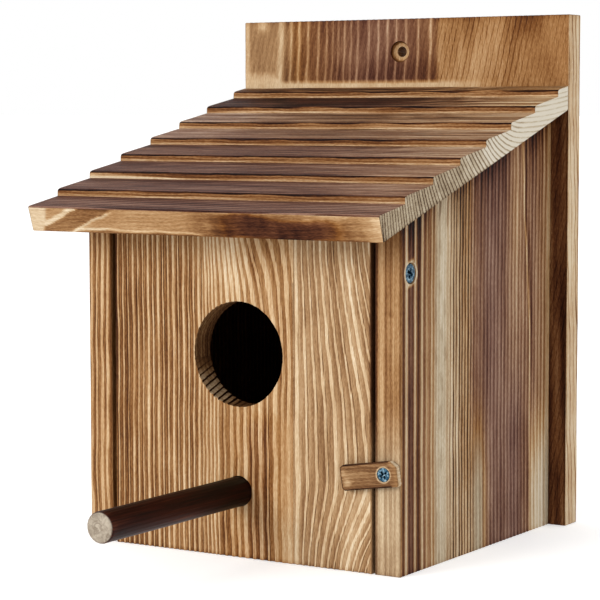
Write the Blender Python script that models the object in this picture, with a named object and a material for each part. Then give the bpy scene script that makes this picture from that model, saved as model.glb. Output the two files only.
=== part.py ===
"""Hanging nest box in 12 mm pine, under a one-piece roof milled into lapped courses.

The front is a door.  It swings out at the bottom on two screws through the side panels, and a
wooden turn button on the right side panel's edge holds it shut.  It carries the dowel perch.

Sizes are millimetres until they reach a mesh, and +Z is up.  X runs across the box, -Y is the
front.  The origin is at the bottom, midway across, and midway between the perch's tip and the back.
"""
import math

import bmesh
import bpy
from mathutils import Matrix, Vector

MM = 0.001

# Stock and clearances
BOARD = 12.0          # thickness of every panel
GAP = 0.3             # left between pieces that touch
EASE = 0.5            # arris taken off the panels' edges

# Box
BOX_WIDTH = 158.0     # over the two side panels
BOX_DEPTH = 137.5     # front of the door to front of the back board
BACK_WIDTH = 175.0
BACK_HEIGHT = 232.5
ROOF_WIDTH = 174.5
ROOF_PITCH = math.radians(17.2)
ROOF_UNDERSIDE = 147.1    # height of the roof's underside above the front plane
ROOF_OVERHANG = 27.9      # underside's reach in front of the front plane
ROOF_FRONT = 11.4         # thickness of the roof's front edge, square to the underside

# Lapped courses milled into the roof's top
COURSE_PITCH = 23.0
COURSE_COUNT = 7
COURSE_STEP = 3.15        # height of each upright step
COURSE_FIRST = -11.0      # front step, measured from the front plane
COURSE_BASE = 9.3         # wood left under the foot of a step, measured upright
COURSE_NOSE = 1.0         # radius on the top edge of a step

# Door
DOOR_HEIGHT = 143.0
DOOR_GAP_LEFT = 2.2
DOOR_GAP_RIGHT = 1.4
DOOR_TAPER = 0.5          # taken off each edge towards the top
DOOR_THICKNESS = 12.0
ENTRANCE_RADIUS = 22.5
ENTRANCE_HEIGHT = 87.2
PIVOT_BACK = 8.5          # pivot axis behind the front plane
PIVOT_HEIGHT = 123.9

# Perch
PERCH_RADIUS = 6.5
PERCH_REACH = 97.0
PERCH_DEPTH = 9.0         # glued into a blind hole
PERCH_HEIGHT = 28.6

# Turn button
BUTTON_LENGTH = 26.8
BUTTON_WIDTH = 10.7
BUTTON_THICKNESS = 3.2
BUTTON_END = 6.3          # from its screw to its near end
BUTTON_TILT = math.radians(8.8)
BUTTON_HEIGHT = 42.4

# Back board's hanging hole
HANG_DROP = 15.4          # below the top edge
HANG_RADIUS = 2.5
HANG_LEDGE_RADIUS = 4.0
HANG_MOUTH_RADIUS = 5.0
HANG_LEDGE_DEPTH = 2.0

# Floor
FLOOR_STOP = 12.5         # floor's front edge, which the closed door rests against
DRAIN_RADIUS = 3.0
DRAIN_SIDE = 46.0
DRAIN_ROWS = (34.0, 116.0)

# Where the fasteners go
BACK_SCREW_HEIGHTS = (30.0, 150.0)
FLOOR_SCREW_SIDE = 40.0
ROOF_BRAD_SIDES = (-55.0, 0.0, 55.0)
ROOF_BRAD_HEIGHT = 193.0
EDGE_BRAD_COURSES = (2, 5)     # courses whose treads the roof's side brads go through
EDGE_BRAD_BACK = 12.0          # behind the step of that course
HEAD_SET = 0.3                 # how far a head sits below the wood
BRAD_SET = 0.6

TREAD_SLOPE = math.tan(ROOF_PITCH) - COURSE_STEP / COURSE_PITCH

# The front plane's place along Y, which centres the whole object on the origin
FRONT = (PERCH_REACH - BOX_DEPTH - BOARD) / 2
BACK = FRONT + BOX_DEPTH + BOARD
SIDE_CENTRE = BOX_WIDTH / 2 - BOARD / 2
INNER_HALF = BOX_WIDTH / 2 - BOARD

ROUND_SIDES = 16
HOLE_SIDES = 48


class Fastener:
    """Sizes of one kind of nail or screw, head down to tip."""

    def __init__(self, head, shank, length, rim, recess, sink):
        self.head = head          # head radius
        self.shank = shank        # shank radius
        self.length = length
        self.rim = rim            # thickness of the head's edge
        self.recess = recess      # half width of the cross recess, or 0
        self.sink = sink          # radius of the wood's countersink at the surface, or 0

    def profile(self):
        """Radius and depth from the head's top to the point."""
        cone = self.rim + (self.head - self.shank)
        tip = self.length - 2.2 * self.shank
        return [(0, 0), (self.head, 0), (self.head, self.rim), (self.shank, cone),
                (self.shank, tip), (0, self.length)]

    def hole(self, depth, head_set):
        """Radius and depth of the hole that clears it, from above the wood down past its point.

        The wood's surface is head_set above the head's top, and a countersink slopes at 45 degrees.
        """
        wide = self.head + GAP
        narrow = self.shank + GAP
        over = 2.0
        slope_end = max(0.0, self.sink - wide - head_set)
        mouth = self.sink + over - head_set if self.sink > wide else wide
        seat = max(self.rim + GAP, slope_end + 0.1)
        return [(0, -over), (mouth, -over), (wide, slope_end), (wide, seat),
                (narrow, seat + wide - narrow), (narrow, depth), (0, depth)]


PIVOT_SCREW = Fastener(head=3.9, shank=2.0, length=30.0, rim=0.4, recess=2.3, sink=4.6)
BACK_SCREW = Fastener(head=3.5, shank=1.75, length=30.0, rim=0.4, recess=2.1, sink=4.1)
BUTTON_SCREW = Fastener(head=2.8, shank=1.4, length=18.0, rim=0.3, recess=1.7, sink=3.3)
BRAD = Fastener(head=0.9, shank=0.6, length=25.0, rim=0.6, recess=0, sink=0)


def finish(name, colour, roughness, metallic=0.0):
    """One plain Principled material."""
    material = bpy.data.materials.new(name)
    material.use_nodes = True
    shader = material.node_tree.nodes["Principled BSDF"]
    shader.inputs["Base Color"].default_value = (*colour, 1.0)
    shader.inputs["Roughness"].default_value = roughness
    shader.inputs["Metallic"].default_value = metallic
    return material


def add_object(name, bm, material, origin=(0, 0, 0)):
    """Link a bmesh in millimetres as a named object in metres, with its origin at a given point."""
    bmesh.ops.recalc_face_normals(bm, faces=bm.faces)
    bmesh.ops.translate(bm, vec=-Vector(origin), verts=bm.verts)
    bmesh.ops.scale(bm, vec=(MM, MM, MM), verts=bm.verts)
    mesh = bpy.data.meshes.new(name)
    bm.to_mesh(mesh)
    bm.free()
    if material:
        mesh.materials.append(material)
    obj = bpy.data.objects.new(name, mesh)
    obj.location = Vector(origin) * MM
    bpy.context.scene.collection.objects.link(obj)
    return obj


def smooth(obj):
    """Shade smooth, with sharp edges kept."""
    obj.data.shade_smooth()
    obj.data.set_sharp_from_angle(angle=math.radians(35))


def prism(name, outline, axis, low, high, material, origin=(0, 0, 0), ease=EASE):
    """A flat outline drawn across one axis (0, 1 or 2) and extruded along it from low to high."""
    bm = bmesh.new()
    verts = []
    for first, second in outline:
        place = [first, second]
        place.insert(axis, low)
        verts.append(bm.verts.new(place))
    face = bm.faces.new(verts)
    made = bmesh.ops.extrude_face_region(bm, geom=[face])
    travel = Vector((0, 0, 0))
    travel[axis] = high - low
    moved = [item for item in made["geom"] if isinstance(item, bmesh.types.BMVert)]
    bmesh.ops.translate(bm, vec=travel, verts=moved)
    obj = add_object(name, bm, material, origin)
    if ease:
        bevel = obj.modifiers.new("eased_edges", "BEVEL")
        bevel.width = ease * MM
        bevel.segments = 2
        bevel.limit_method = "ANGLE"
        bevel.angle_limit = math.radians(50)
    return obj


def turned(name, profile, place, direction, material, sides=ROUND_SIDES):
    """A profile of (radius, distance) pairs turned about a direction, starting at a place."""
    bm = bmesh.new()
    verts = [bm.verts.new((radius, 0, along)) for radius, along in profile]
    edges = [bm.edges.new(pair) for pair in zip(verts, verts[1:])]
    bmesh.ops.spin(bm, geom=verts + edges, cent=(0, 0, 0), axis=(0, 0, 1), dvec=(0, 0, 0),
                   angle=math.tau, steps=sides)
    bmesh.ops.remove_doubles(bm, verts=bm.verts, dist=0.001)
    turn = Vector((0, 0, 1)).rotation_difference(Vector(direction))
    obj = add_object(name, bm, material)
    obj.rotation_mode = "QUATERNION"
    obj.rotation_quaternion = turn
    obj.location = Vector(place) * MM
    smooth(obj)
    return obj


def cross_cutter(name, half_width, place, direction):
    """A tapering cross, the driver's recess in a screw head."""
    arm = half_width
    web = 0.24 * half_width
    depth = 0.8 * half_width
    quarter = [(arm, -web), (arm, web), (web, web)]
    bm = bmesh.new()
    verts = []
    for step in range(4):
        spin = Matrix.Rotation(step * math.pi / 2, 3, "Z")
        for across, along in quarter:
            verts.append(bm.verts.new(spin @ Vector((across, along, -0.5))))
    face = bm.faces.new(verts)
    made = bmesh.ops.extrude_face_region(bm, geom=[face])
    moved = [item for item in made["geom"] if isinstance(item, bmesh.types.BMVert)]
    bmesh.ops.translate(bm, vec=(0, 0, depth + 0.5), verts=moved)
    bmesh.ops.scale(bm, vec=(0.5, 0.5, 1), verts=moved)
    obj = add_object(name, bm, None)
    obj.rotation_mode = "QUATERNION"
    obj.rotation_quaternion = Vector((0, 0, 1)).rotation_difference(Vector(direction))
    obj.location = Vector(place) * MM
    return obj


def cut(target, cutter):
    """Take a cutter out of a piece, and keep the cutter itself out of the model."""
    cutter.hide_render = True
    cutter.display_type = "WIRE"
    boolean = target.modifiers.new("cut_" + cutter.name, "BOOLEAN")
    boolean.operation = "DIFFERENCE"
    boolean.solver = "EXACT"
    boolean.object = cutter


def fasten(name, kind, place, direction, pieces, material, head_set=HEAD_SET):
    """Drive one fastener, and clear its hole in each piece that it passes through."""
    direction = Vector(direction).normalized()
    obj = turned(name, kind.profile(), place, direction, material)
    if kind.recess:
        cut(obj, cross_cutter(name + "_recess", kind.recess, place, direction))
    hole = turned(name + "_hole", kind.hole(kind.length + 0.5, head_set), place, direction, None)
    for piece in pieces:
        cut(piece, hole)
    return obj, hole


def parent_to(pivot, *pieces):
    """Hang pieces on a pivot empty without moving them."""
    for piece in pieces:
        piece.parent = pivot
        piece.location -= pivot.location


def add_pivot(name, place):
    empty = bpy.data.objects.new(name, None)
    empty.location = Vector(place) * MM
    bpy.context.scene.collection.objects.link(empty)
    return empty


def underside(depth):
    """Height of the roof's underside at a depth behind the front plane."""
    return ROOF_UNDERSIDE + depth * math.tan(ROOF_PITCH)


def tread(course, behind):
    """Depth and height of a point on a course's tread, a distance behind its step."""
    depth = COURSE_FIRST + course * COURSE_PITCH + behind
    height = underside(depth - behind) + COURSE_BASE + COURSE_STEP + behind * TREAD_SLOPE
    return depth, height


def roof_outline():
    """The roof's end view as (depth, height): flat below, with a round-nosed step per course."""
    front_low = Vector((-ROOF_OVERHANG, underside(-ROOF_OVERHANG)))
    square = Vector((-math.sin(ROOF_PITCH), math.cos(ROOF_PITCH)))
    front_high = front_low + square * ROOF_FRONT
    points = [tuple(front_low), tuple(front_high)]
    for course in range(COURSE_COUNT):
        depth = COURSE_FIRST + course * COURSE_PITCH
        foot = underside(depth) + COURSE_BASE
        points.append((depth, foot))
        points.append((depth, foot + COURSE_STEP - COURSE_NOSE))
        for step in range(1, 4):
            turn = step / 3 * (math.pi / 2 - math.atan(TREAD_SLOPE))
            points.append((depth + COURSE_NOSE * (1 - math.cos(turn)),
                           foot + COURSE_STEP - COURSE_NOSE * (1 - math.sin(turn))))
    rear = BOX_DEPTH - GAP
    last_step = COURSE_FIRST + (COURSE_COUNT - 1) * COURSE_PITCH
    points.append(tread(COURSE_COUNT - 1, rear - last_step))
    points.append((rear, underside(rear)))
    return [(FRONT + depth, height) for depth, height in points]


def side_panel(name, centre, material):
    """A side: square below, cut to the roof's slope above."""
    drop = GAP / math.cos(ROOF_PITCH)
    rear = BOX_DEPTH - GAP
    outline = [(FRONT, 0), (FRONT + rear, 0), (FRONT + rear, underside(rear) - drop),
               (FRONT, underside(0) - drop)]
    return prism(name, outline, 0, centre - BOARD / 2, centre + BOARD / 2, material)


def back_board(material):
    half = BACK_WIDTH / 2
    outline = [(-half, 0), (half, 0), (half, BACK_HEIGHT), (-half, BACK_HEIGHT)]
    board = prism("back_board", outline, 1, BACK - BOARD, BACK, material)
    profile = [(0, -1), (HANG_MOUTH_RADIUS + 0.5, -1), (HANG_MOUTH_RADIUS, 0),
               (HANG_LEDGE_RADIUS, HANG_LEDGE_DEPTH), (HANG_RADIUS, HANG_LEDGE_DEPTH + 0.2),
               (HANG_RADIUS, BOARD + 1), (0, BOARD + 1)]
    place = (0, BACK - BOARD, BACK_HEIGHT - HANG_DROP)
    cut(board, turned("hanging_hole", profile, place, (0, 1, 0), None, HOLE_SIDES))
    return board


def floor_panel(material):
    half = INNER_HALF - GAP
    front = FRONT + FLOOR_STOP
    rear = FRONT + BOX_DEPTH - GAP
    panel = prism("floor_panel", [(-half, front), (half, front), (half, rear), (-half, rear)],
                  2, 0, BOARD, material)
    for side in (-1, 1):
        for row in DRAIN_ROWS:
            drain = turned("drain_hole", [(0, -1), (DRAIN_RADIUS, -1), (DRAIN_RADIUS, BOARD + 1),
                                          (0, BOARD + 1)],
                           (side * DRAIN_SIDE, FRONT + row, 0), (0, 0, 1), None)
            cut(panel, drain)
    return panel


def front_door(material, origin):
    left = -INNER_HALF + DOOR_GAP_LEFT
    right = INNER_HALF - DOOR_GAP_RIGHT
    outline = [(left, 0), (right, 0), (right - DOOR_TAPER, DOOR_HEIGHT),
               (left + DOOR_TAPER, DOOR_HEIGHT)]
    door = prism("front_door", outline, 1, FRONT, FRONT + DOOR_THICKNESS, material, origin)
    entrance = [(0, -1), (ENTRANCE_RADIUS, -1), (ENTRANCE_RADIUS, DOOR_THICKNESS + 1),
                (0, DOOR_THICKNESS + 1)]
    cut(door, turned("entrance_hole", entrance, (0, FRONT, ENTRANCE_HEIGHT), (0, 1, 0), None,
                     HOLE_SIDES))
    socket = [(0, -1), (PERCH_RADIUS + GAP, -1), (PERCH_RADIUS + GAP, PERCH_DEPTH + GAP),
              (0, PERCH_DEPTH + GAP)]
    cut(door, turned("perch_socket", socket, (0, FRONT, PERCH_HEIGHT), (0, 1, 0), None))
    return door


def perch_dowel(material):
    chamfer = 0.6
    length = PERCH_REACH + PERCH_DEPTH
    profile = [(0, 0), (PERCH_RADIUS - chamfer, 0), (PERCH_RADIUS, chamfer),
               (PERCH_RADIUS, length), (0, length)]
    return turned("perch_dowel", profile, (0, FRONT - PERCH_REACH, PERCH_HEIGHT), (0, 1, 0),
                  material, HOLE_SIDES)


def turn_button(material):
    """A flat wooden bar with its near top corner sloped off, turned a little off level."""
    near, far = BUTTON_END, BUTTON_END - BUTTON_LENGTH
    half = BUTTON_WIDTH / 2
    outline = [(far + 1.2, -half), (near - 0.6, -half), (near, -half + 0.6), (near, half - 2.6),
               (near - 2.8, half), (far + 1.6, half), (far + 0.5, half - 0.6), (far, half - 2.0),
               (far + 0.3, -half + 1.6)]
    centre = Vector((SIDE_CENTRE, 0, BUTTON_HEIGHT))
    turn = Matrix.Rotation(-BUTTON_TILT, 3, "Y")
    tilted = []
    for across, up in outline:
        point = centre + turn @ Vector((across, 0, up))
        tilted.append((point.x, point.z))
    rear = FRONT - GAP
    origin = (SIDE_CENTRE, rear - BUTTON_THICKNESS, BUTTON_HEIGHT)
    return prism("turn_button", tilted, 1, rear - BUTTON_THICKNESS, rear, material, origin,
                 ease=0.35)


def build():
    pine = finish("scorched_pine", (0.42, 0.25, 0.13), 0.6)
    dark_dowel = finish("dark_dowel", (0.09, 0.04, 0.03), 0.55)
    zinc = finish("zinc_plate", (0.62, 0.66, 0.70), 0.3, 1.0)

    board = back_board(pine)
    left = side_panel("left_side_panel", -SIDE_CENTRE, pine)
    right = side_panel("right_side_panel", SIDE_CENTRE, pine)
    floor = floor_panel(pine)
    roof = prism("roof_board", roof_outline(), 0, -ROOF_WIDTH / 2, ROOF_WIDTH / 2, pine, ease=0)

    pivot_place = (0, FRONT + PIVOT_BACK, PIVOT_HEIGHT)
    pivot = add_pivot("door_pivot", pivot_place)
    door = front_door(pine, pivot_place)
    perch = perch_dowel(dark_dowel)
    riding = [door, perch]
    for side, name, panel in ((-1, "pivot_screw_left", left), (1, "pivot_screw_right", right)):
        place = (side * (BOX_WIDTH / 2 - HEAD_SET), FRONT + PIVOT_BACK, PIVOT_HEIGHT)
        screw, hole = fasten(name, PIVOT_SCREW, place, (-side, 0, 0), (panel, door), zinc)
        riding += [screw, hole, bpy.data.objects[name + "_recess"]]
    parent_to(pivot, *riding)

    button = turn_button(dark_dowel)
    fasten("turn_button_screw", BUTTON_SCREW,
           (SIDE_CENTRE, FRONT - GAP - BUTTON_THICKNESS, BUTTON_HEIGHT), (0, 1, 0),
           (button, right), zinc, head_set=0)

    number = 1
    for height in BACK_SCREW_HEIGHTS:
        for side, panel in ((-1, left), (1, right)):
            fasten(f"back_screw_{number}", BACK_SCREW, (side * SIDE_CENTRE, BACK - HEAD_SET, height),
                   (0, -1, 0), (board, panel), zinc)
            number += 1
    for side, word in ((-1, "left"), (1, "right")):
        fasten(f"floor_screw_{word}", BACK_SCREW,
               (side * FLOOR_SCREW_SIDE, BACK - HEAD_SET, BOARD / 2), (0, -1, 0), (board, floor),
               zinc)
    for number, side in enumerate(ROOF_BRAD_SIDES, 1):
        fasten(f"roof_brad_{number}", BRAD, (side, BACK - BRAD_SET, ROOF_BRAD_HEIGHT), (0, -1, 0),
               (board, roof), zinc)
    number = 1
    into_side = Vector((0, math.sin(ROOF_PITCH), -math.cos(ROOF_PITCH)))
    for course in EDGE_BRAD_COURSES:
        depth, height = tread(course, EDGE_BRAD_BACK)
        for side, panel in ((-1, left), (1, right)):
            surface = Vector((side * SIDE_CENTRE, FRONT + depth, height))
            fasten(f"roof_edge_brad_{number}", BRAD, surface + into_side * BRAD_SET, into_side,
                   (roof, panel), zinc)
            number += 1


for leftover in list(bpy.data.objects):
    bpy.data.objects.remove(leftover, do_unlink=True)
build()
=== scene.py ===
"""Looks of a hanging nest box in flame-scorched and brushed pine.

Every board is a closed grid of points worked out with numpy.  A board's wood function gives, at each
point, where it lies among the year rings, how deep the brush took the soft wood, and its tone: how
far the flame browned it, with painted shade laid in below the roof, beside the door gaps, in the
entrance and inside the box.  The rings sink the mesh and colour it alike, because the mesh and the
material use the same ridge formula.  Wood functions work in millimetres and the meshes are in metres.
"""
import math

import bpy
import numpy as np
from mathutils import Matrix, Vector


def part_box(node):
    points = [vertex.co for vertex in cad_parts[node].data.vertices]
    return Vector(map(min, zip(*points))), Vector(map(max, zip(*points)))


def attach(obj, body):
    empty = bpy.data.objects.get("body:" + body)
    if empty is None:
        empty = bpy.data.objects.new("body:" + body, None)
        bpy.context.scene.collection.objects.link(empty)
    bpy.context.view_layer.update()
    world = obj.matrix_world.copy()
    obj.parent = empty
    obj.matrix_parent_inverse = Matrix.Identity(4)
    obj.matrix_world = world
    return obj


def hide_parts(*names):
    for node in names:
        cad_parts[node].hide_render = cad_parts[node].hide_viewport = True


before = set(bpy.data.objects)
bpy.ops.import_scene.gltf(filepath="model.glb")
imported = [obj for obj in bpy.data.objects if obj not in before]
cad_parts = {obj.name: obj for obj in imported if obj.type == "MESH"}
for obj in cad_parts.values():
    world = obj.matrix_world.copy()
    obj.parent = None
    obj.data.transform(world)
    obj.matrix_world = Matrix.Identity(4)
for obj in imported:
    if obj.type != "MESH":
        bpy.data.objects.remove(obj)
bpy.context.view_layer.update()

MM = 0.001
TAU = math.tau


def box_mm(node):
    """A CAD node's lowest and highest corners, in millimetres."""
    return [np.array(corner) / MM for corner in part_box(node)]


def middle(node):
    """The centre of a CAD node's box, in millimetres."""
    low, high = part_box(node)
    return np.array((low + high) / 2) / MM


# Places in the frame, in millimetres, and angles
FRONT = box_mm("front_door")[0][1]
BACK_FRONT = box_mm("back_board")[0][1]
BACK_HALF, BACK, BACK_TOP = box_mm("back_board")[1]
SIDE_OUT = box_mm("right_side_panel")[1][0]
SIDE_MIDDLE = SIDE_OUT - 6
ROOF_HALF = box_mm("roof_board")[1][0]
PITCH = math.radians(17.2)
PITCH_SLOPE = math.tan(PITCH)
ROOF_UNDERSIDE = 147.1
ENTRANCE_RADIUS = 22.5
ENTRANCE_HEIGHT = 87.2
PERCH_HEIGHT = 28.6
PIVOT_DEPTH = 8.5
PIVOT_HEIGHT = 123.9
BUTTON_HEIGHT = 42.4
BUTTON_TILT = math.radians(8.8)
HANG_HEIGHT = BACK_TOP - 15.4
SIDE_SCREW_HEIGHTS = (30.0, 150.0)
FLOOR_SCREW_PLACES = (-40.0, 40.0)
FLOOR_SCREW_HEIGHT = 6
BRAD_PLACES = (-55.0, 0.0, 55.0)
BRAD_HEIGHT = 193.0


# ---------------------------------------------------------------- materials

class Wire:
    """A value or a vector on its way through a material, with maths written as operators."""

    def __init__(self, finish, socket):
        self.finish = finish
        self.socket = socket

    def maths(self, operation, *others):
        return self.finish.node("ShaderNodeMath", {"operation": operation}, [self, *others])

    def __add__(self, other):
        return self.maths("ADD", other)

    def __sub__(self, other):
        return self.maths("SUBTRACT", other)

    def __mul__(self, other):
        return self.maths("MULTIPLY", other)

    def __truediv__(self, other):
        return self.maths("DIVIDE", other)

    def __neg__(self):
        return self * -1.0

    def __rsub__(self, other):
        return self.finish.node("ShaderNodeMath", {"operation": "SUBTRACT"}, [other, self])

    __radd__ = __add__
    __rmul__ = __mul__


class Finish:
    """One node material.  Every node is made by node(), settings first and then its sockets."""

    def __init__(self, name, slot_colour):
        self.material = bpy.data.materials.new(name)
        self.material.use_nodes = True
        self.material.diffuse_color = (*slot_colour, 1.0)
        self.tree = self.material.node_tree
        self.shader = self.tree.nodes["Principled BSDF"]

    def node(self, kind, settings=None, values=None, output=0):
        """Make a node.  Values are a list in socket order or a dict by socket name or number."""
        made = self.tree.nodes.new(kind)
        for setting, choice in (settings or {}).items():
            if setting == "stops":
                self.stops(made.color_ramp, choice)
            else:
                setattr(made, setting, choice)
        pairs = values.items() if isinstance(values, dict) else enumerate(values or [])
        for key, value in pairs:
            self.feed(made.inputs[key], value)
        return Wire(self, made.outputs[output])

    def feed(self, socket, value):
        if isinstance(value, Wire):
            self.tree.links.new(value.socket, socket)
        else:
            socket.default_value = value

    def stops(self, ramp, stops):
        while len(ramp.elements) < len(stops):
            ramp.elements.new(0.5)
        for element, (place, colour) in zip(ramp.elements, stops):
            element.position = place
            element.color = (*colour, 1.0)

    def field(self, layer):
        """The two values of one of the piece's own UV layers."""
        uv = self.node("ShaderNodeUVMap", {"uv_map": layer})
        first = self.node("ShaderNodeSeparateXYZ", None, [uv], 0)
        return first, Wire(self, first.socket.node.outputs[1])

    def place(self, scale):
        """Object coordinates in metres, scaled along each axis."""
        coordinates = self.node("ShaderNodeTexCoord", None, None, 3)
        return self.node("ShaderNodeMapping", None, {"Vector": coordinates, "Scale": scale})

    def noise(self, scale, detail=3.0, roughness=0.55, distortion=0.0):
        """Noise, about 0.5 on average, with its grain size set along each axis."""
        return self.node("ShaderNodeTexNoise", None,
                         {"Vector": self.place(scale), "Scale": 1.0, "Detail": detail,
                          "Roughness": roughness, "Distortion": distortion})

    def mix(self, factor, first, second):
        """Between two colours."""
        return self.node("ShaderNodeMix", {"data_type": "RGBA"},
                         {0: factor, 6: first, 7: second}, 2)

    def ramp(self, value, stops):
        return self.node("ShaderNodeValToRGB", {"stops": stops}, [value])

    def bump(self, height, distance, strength):
        normal = self.node("ShaderNodeBump", None,
                           {"Height": height, "Distance": distance, "Strength": strength})
        self.feed(self.shader.inputs["Normal"], normal)

    def set(self, **sockets):
        for key, value in sockets.items():
            self.feed(self.shader.inputs[key.replace("_", " ")], value)
        return self.material


def fraction(value):
    return value.maths("FRACT") if isinstance(value, Wire) else value - np.floor(value)


def size_of(value):
    return value.maths("ABSOLUTE") if isinstance(value, Wire) else np.abs(value)


def rise(value, low, high):
    """Smoothly 0 below low and 1 above high, for numpy values and for wires."""
    if isinstance(value, Wire):
        part = ((value - low) / (high - low)).maths("MINIMUM", 1.0).maths("MAXIMUM", 0.0)
    else:
        part = np.clip((value - low) / (high - low), 0, 1)
    return part * part * (3.0 - 2.0 * part)


def ridge(phase, width, soft=0.09):
    """How far a point is on the hard pale late wood, 0 to 1.

    The distance from the middle of the year ring, as a part of the ring, is compared with width,
    and the edge is softened by soft on both sides.
    """
    away = size_of(fraction(phase) - 0.5)
    return 1.0 - rise(away - width, -soft, soft)


LIGHT = 1.50          # how much brighter a pale face comes out under this light


def tint(red, green, blue):
    """A shade as it looks on the front of the box, 0 to 255, as the linear albedo that gives it."""
    return tuple((channel / 255) ** 2.2 / LIGHT for channel in (red, green, blue))


def shades(*colours):
    """Ramp stops from the darkest shade to the palest."""
    places = (0.0, 0.14, 0.28, 0.42, 0.58, 0.72, 0.86, 1.0)
    return [(place, tint(*colour)) for place, colour in zip(places, colours)]


PINE = shades((22, 7, 3), (52, 26, 13), (86, 49, 23), (124, 77, 36),
              (168, 121, 74), (197, 155, 109), (223, 189, 146), (241, 219, 183))
SMOKED = shades((20, 6, 4), (50, 23, 18), (84, 50, 42), (114, 79, 68),
                (146, 111, 97), (177, 145, 127), (209, 183, 163), (235, 215, 198))
RAW = shades((40, 22, 12), (76, 53, 35), (106, 83, 61), (136, 114, 89),
             (168, 148, 120), (196, 178, 149), (222, 206, 178), (246, 236, 216))

ALONG = 0.03          # a fibre's length against its width, in the noise that draws it


def scorched_pine(name, grain):
    """Flamed and brushed pine whose fibres run along one axis (0, 1 or 2).

    Tone is the wood's own tone, plus the ring's ridge less its half times the contrast, plus fibre,
    streak and mottle noise.  Three ramps turn tone into colour: plain, smoked and raw wood.
    """
    finish = Finish(name, (0.55, 0.37, 0.22))

    def grained(size, along=ALONG, detail=3.0, distortion=0.0):
        scale = [1 / size] * 3
        scale[grain] *= along
        return finish.noise(scale, detail, distortion=distortion)

    fibre = grained(0.00055, detail=4.0)
    streak = grained(0.0034, 0.03)
    mottle = grained(0.011, 0.4)
    pore = grained(0.0003, 0.16, 2.0)
    phase, width = finish.field("rings")
    tone, contrast = finish.field("tone")
    hue, rough = finish.field("hue")
    ring = finish.node("ShaderNodeTexWhiteNoise", {"noise_dimensions": "1D"},
                       {"W": phase.maths("FLOOR")})
    lively = contrast * 1.7 + 0.25
    torn_width = width + (fibre - 0.5) * 0.26 + (ring - 0.5) * 0.11
    line = ridge(phase + (streak - 0.5) * 0.18, torn_width, 0.05)
    since = fraction(phase + 0.28) - 0.3
    shade = tone + contrast * (line - 0.5) - contrast * since * (1.0 - line) * 0.95
    shade = shade + (ring - 0.5) * contrast * 0.3 + (pore - 0.5) * 0.40 + (mottle - 0.5) * 0.26
    shade += ((fibre - 0.5) * 0.58 + (streak - 0.5) * 0.30) * lively
    plain = finish.ramp(shade, PINE)
    smoked = finish.ramp(shade, SMOKED)
    raw = finish.ramp(shade, RAW)
    colour = finish.mix(hue.maths("MAXIMUM", 0.0), plain, smoked)
    colour = finish.mix((-hue).maths("MAXIMUM", 0.0), colour, raw)
    finish.bump(line * 0.5 + fibre * 1.2 + pore * 0.6, 0.00022, 0.75)
    return finish.set(Base_Color=colour, Roughness=rough + (fibre - 0.5) * 0.2,
                      Specular_IOR_Level=0.06)


def dark_dowel(name):
    """Dark stained hardwood: long open pores, browner along the light side, a raw sawn end."""
    finish = Finish(name, (0.1, 0.05, 0.03))
    fibre = finish.noise((1700, 36, 1700), 4.0)
    patch = finish.noise((190, 22, 190), 3.0)
    end_rings = finish.noise((420, 420, 420), 3.0, distortion=1.2)
    tone, contrast = finish.field("tone")
    shade = tone + (fibre - 0.5) * 0.80 + (patch - 0.5) * 0.50
    stained = finish.ramp(shade, [(0.0, tint(7, 2, 1)), (0.2, tint(24, 8, 4)), (0.45, tint(56, 23, 14)),
                                  (0.7, tint(100, 56, 38)), (1.0, tint(150, 100, 74))])
    sawn = finish.ramp(end_rings, [(0.3, tint(138, 124, 108)), (0.7, tint(196, 184, 166))])
    colour = finish.mix(contrast, stained, sawn)
    finish.bump(fibre * 0.8 + end_rings * 0.3, 0.0002, 0.6)
    return finish.set(Base_Color=colour, Roughness=0.46 + contrast * 0.3 + (fibre - 0.5) * 0.2,
                      Specular_IOR_Level=0.08)


def zinc_plate(name):
    """Bluish zinc: bright, faintly clouded, with fine scuffs."""
    finish = Finish(name, (0.6, 0.66, 0.72))
    cloud = finish.noise((900, 900, 900), 3.0)
    scuff = finish.noise((3000, 900, 2200), 3.0)
    colour = finish.ramp(cloud, [(0.38, (0.008, 0.03, 0.055)), (0.52, (0.035, 0.09, 0.14)),
                                 (0.68, (0.25, 0.36, 0.42))])
    finish.bump(scuff, 0.00006, 0.5)
    return finish.set(Base_Color=colour, Metallic=1.0, Roughness=0.24 + scuff * 0.26)


# ---------------------------------------------------------------- meshes

def skin(counts):
    """The outside of a block of points: the points' index triples, and quads that face outwards."""
    quads = []
    for axis in range(3):
        across, up = (axis + 1) % 3, (axis + 2) % 3
        first, second = np.meshgrid(np.arange(counts[across] - 1), np.arange(counts[up] - 1),
                                    indexing="ij")
        for level in (0, counts[axis] - 1):
            corners = []
            for step, climb in ((0, 0), (1, 0), (1, 1), (0, 1)):
                triple = [None, None, None]
                triple[axis] = np.full(first.shape, level)
                triple[across] = first + step
                triple[up] = second + climb
                corners.append(np.ravel_multi_index(triple, counts).ravel())
            side = np.stack(corners, 1)
            quads.append(side if level else side[:, ::-1])
    keys, quads = np.unique(np.concatenate(quads), return_inverse=True)
    return np.stack(np.unravel_index(keys, counts), 1), quads.reshape(-1, 4)


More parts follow.
